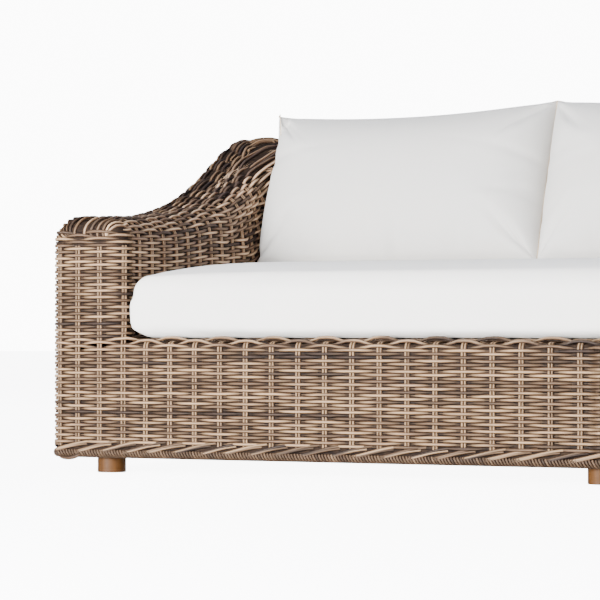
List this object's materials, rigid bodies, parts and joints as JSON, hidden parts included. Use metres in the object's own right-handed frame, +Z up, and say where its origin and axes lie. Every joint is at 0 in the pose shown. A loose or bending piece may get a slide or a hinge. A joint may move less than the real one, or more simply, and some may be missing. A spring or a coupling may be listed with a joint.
{
  "type": "garden sofa",
  "caption": "Woven garden sofa with sweeping arms that rise into the back, round teak feet, a long seat cushion and loose back pillows.",
  "frame": {"origin": "middle of the footprint, on the ground under the feet", "axes": "+X along the sofa, to the right as seen from the front; +Y from the front to the back; +Z up"},
  "size_m": [2.43, 0.93, 0.8118],
  "materials": {
    "wicker": "woven round strands in mixed tan, taupe and grey-brown, satin",
    "wicker_deck": "woven round strands in taupe, matt",
    "frame_aluminium": "powder coated, satin",
    "bolt_steel": "plain stainless",
    "teak": "oiled, upright grain",
    "cushion_fabric": "off-white woven outdoor fabric, matt"
  },
  "bodies": {
    "sofa_body": {"front_hoop_left": "frame_aluminium", "front_hoop_right": "frame_aluminium", "arm_rail_left_outer": "frame_aluminium", "arm_rail_left_inner": "frame_aluminium", "arm_rail_right_outer": "frame_aluminium", "arm_rail_right_inner": "frame_aluminium", "base_rail_front": "frame_aluminium", "base_rail_rear": "frame_aluminium", "base_rail_left": "frame_aluminium", "base_rail_right": "frame_aluminium", "base_cross_rail_left": "frame_aluminium", "base_cross_rail_right": "frame_aluminium", "seat_rail_front": "frame_aluminium", "seat_rail_rear": "frame_aluminium", "seat_rail_left": "frame_aluminium", "seat_rail_right": "frame_aluminium", "seat_crossbar_1": "frame_aluminium", "seat_crossbar_2": "frame_aluminium", "seat_crossbar_3": "frame_aluminium", "front_post": "frame_aluminium", "corner_post_left": "frame_aluminium", "corner_post_right": "frame_aluminium", "rear_post_left": "frame_aluminium", "rear_post_right": "frame_aluminium", "back_rail_front": "frame_aluminium", "back_rail_rear": "frame_aluminium", "back_strut_1": "frame_aluminium", "back_strut_2": "frame_aluminium", "back_strut_3": "frame_aluminium", "foot_front_left": "teak", "foot_front_centre": "teak", "foot_front_right": "teak", "foot_rear_left": "teak", "foot_rear_centre": "teak", "foot_rear_right": "teak", "foot_plate_front_left": "frame_aluminium", "foot_plate_front_centre": "frame_aluminium", "foot_plate_front_right": "frame_aluminium", "foot_plate_rear_left": "frame_aluminium", "foot_plate_rear_centre": "frame_aluminium", "foot_plate_rear_right": "frame_aluminium", "foot_bolt_front_left": "bolt_steel", "foot_bolt_front_centre": "bolt_steel", "foot_bolt_front_right": "bolt_steel", "foot_bolt_rear_left": "bolt_steel", "foot_bolt_rear_centre": "bolt_steel", "foot_bolt_rear_right": "bolt_steel", "weave_arm_front_left": "wicker", "weave_arm_front_right": "wicker", "weave_arm_left": "wicker", "weave_arm_right": "wicker", "weave_corner_left": "wicker", "weave_corner_right": "wicker", "weave_back": "wicker", "weave_apron": "wicker", "seat_deck": "wicker_deck"},
    "seat_cushion_body": {"seat_cushion": "cushion_fabric"},
    "pillow_left_body": {"pillow_left": "cushion_fabric"},
    "pillow_centre_body": {"pillow_centre": "cushion_fabric"},
    "pillow_right_body": {"pillow_right": "cushion_fabric"}
  },
  "joints": [
    {"name": "seat_cushion_lift", "type": "slide", "parent": "sofa_body", "child": "seat_cushion_body", "axis": [0, 0, 1], "range_m": [0, 0.49]},
    {"name": "pillow_left_lift", "type": "slide", "parent": "seat_cushion_body", "child": "pillow_left_body", "axis": [0, 0, 1], "range_m": [0, 0.38]},
    {"name": "pillow_centre_lift", "type": "slide", "parent": "seat_cushion_body", "child": "pillow_centre_body", "axis": [0, 0, 1], "range_m": [0, 0.38]},
    {"name": "pillow_right_lift", "type": "slide", "parent": "seat_cushion_body", "child": "pillow_right_body", "axis": [0, 0, 1], "range_m": [0, 0.38]}
  ]
}
